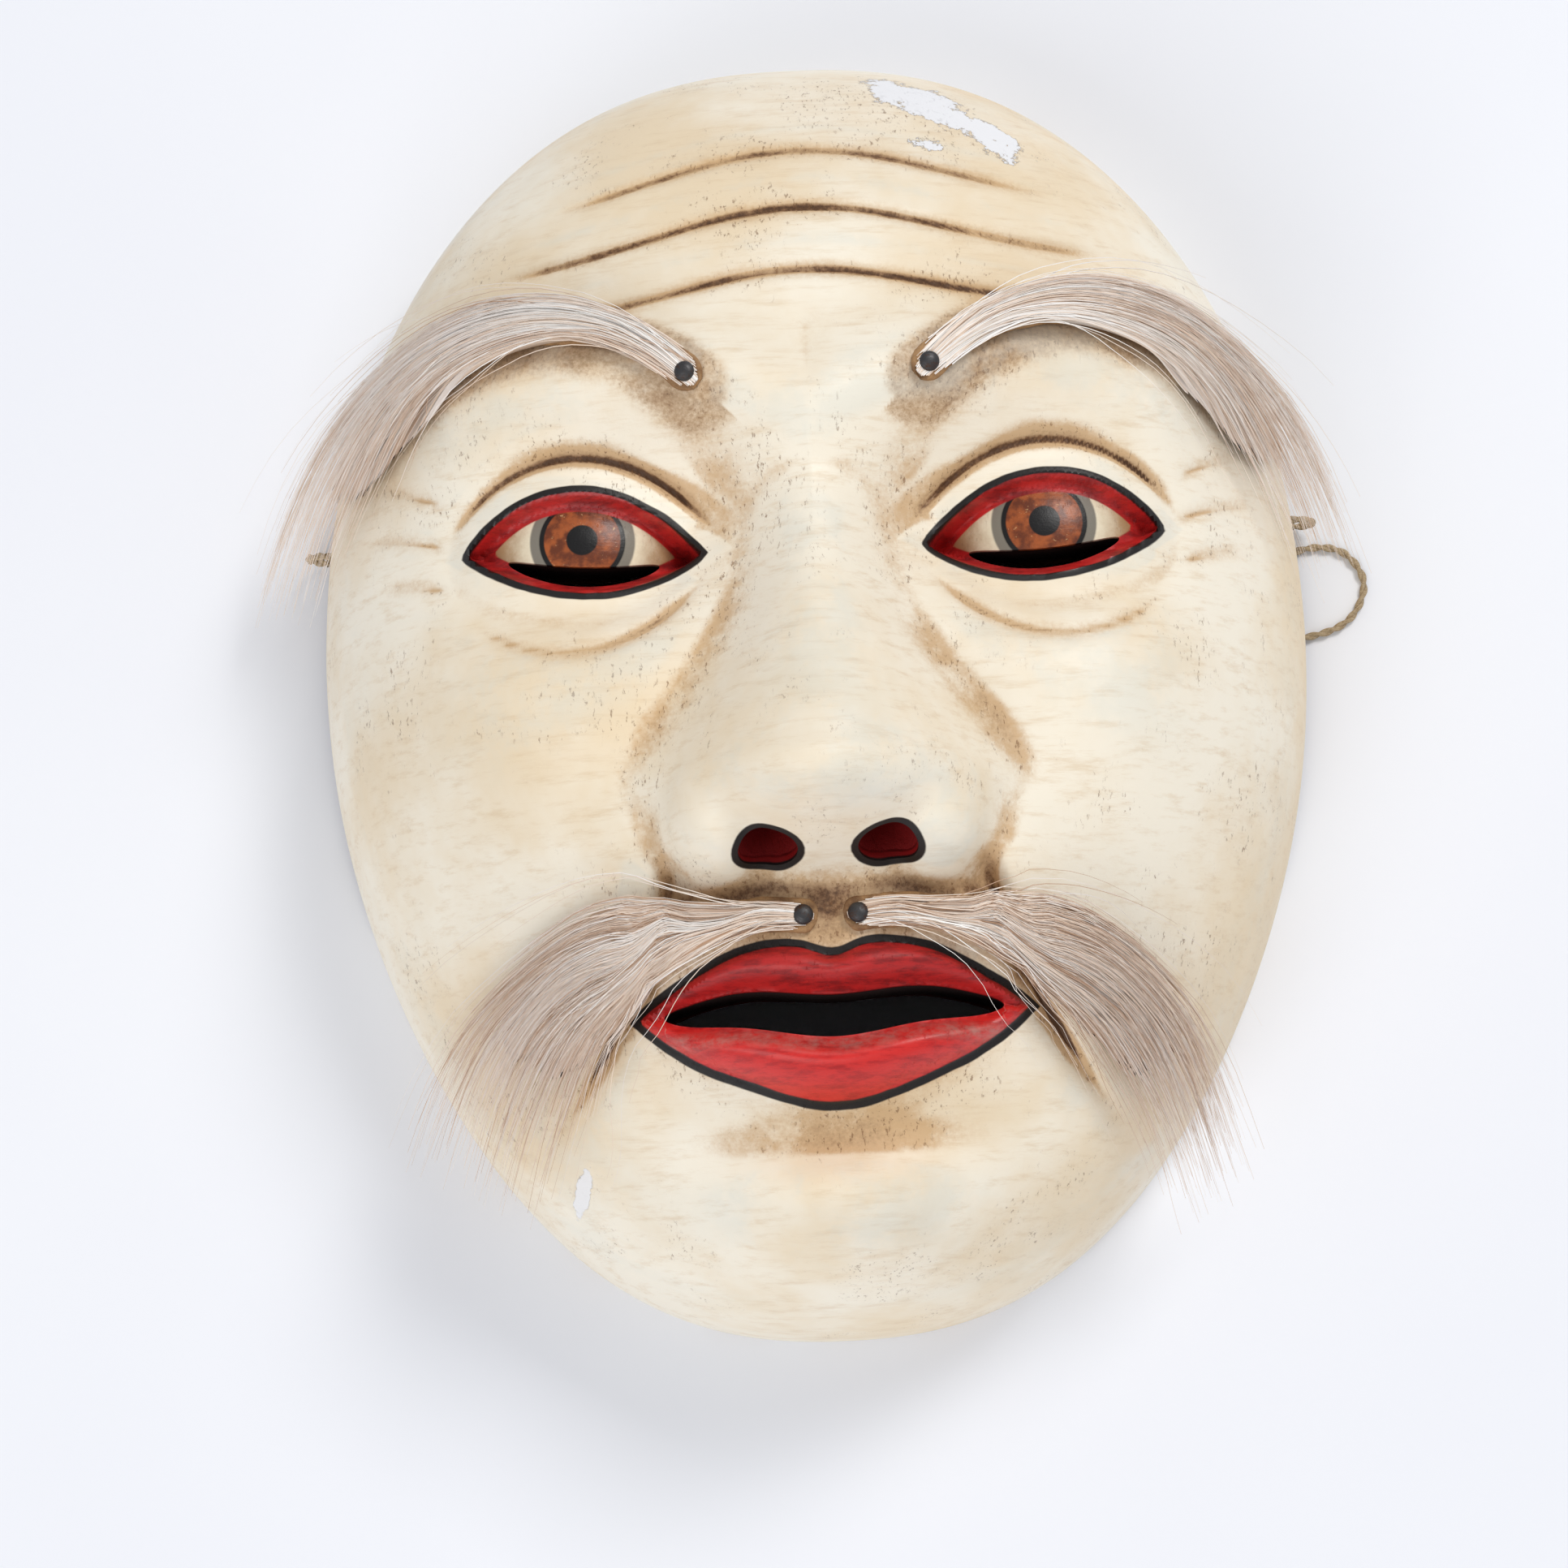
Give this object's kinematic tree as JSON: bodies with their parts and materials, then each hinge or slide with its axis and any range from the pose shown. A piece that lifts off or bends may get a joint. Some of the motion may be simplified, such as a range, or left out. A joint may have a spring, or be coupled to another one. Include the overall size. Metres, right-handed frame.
{
  "type": "carved face mask",
  "caption": "Painted wooden face mask, hollow behind, with eye slits, an open mouth, hair eyebrows and moustache, and a twine to tie it on.",
  "frame": {"origin": "middle of the rim's plane, which the mask lies on, face up", "axes": "+X across the face to the side with the visible loop of twine, +Y from chin to forehead, +Z out of the face"},
  "size_m": [0.1627, 0.19, 0.0866],
  "materials": {
    "painted_wood": "satin cream paint over gesso on carved softwood, brown wash in the lines, red lips and eyelids, bare wood inside",
    "goat_hair": "straight goat hair, off-white to tan, slightly glossy",
    "raw_hide": "thin dry hide, matt",
    "tack_iron": "dark oxidised iron, semi-matt",
    "twine": "two-ply natural fibre twine, matt and slightly hairy"
  },
  "bodies": {
    "root": {"mask_shell": "painted_wood", "brow_hide_left": "raw_hide", "brow_hide_right": "raw_hide", "brow_hair_left": "goat_hair", "brow_hair_right": "goat_hair", "brow_tack_left": "tack_iron", "brow_tack_right": "tack_iron", "moustache_hide_left": "raw_hide", "moustache_hide_right": "raw_hide", "moustache_hair_left": "goat_hair", "moustache_hair_right": "goat_hair", "moustache_tack_left": "tack_iron", "moustache_tack_right": "tack_iron", "hanging_cord": "twine", "cord_knot_left": "twine", "cord_knot_right": "twine"}
  },
  "joints": []
}
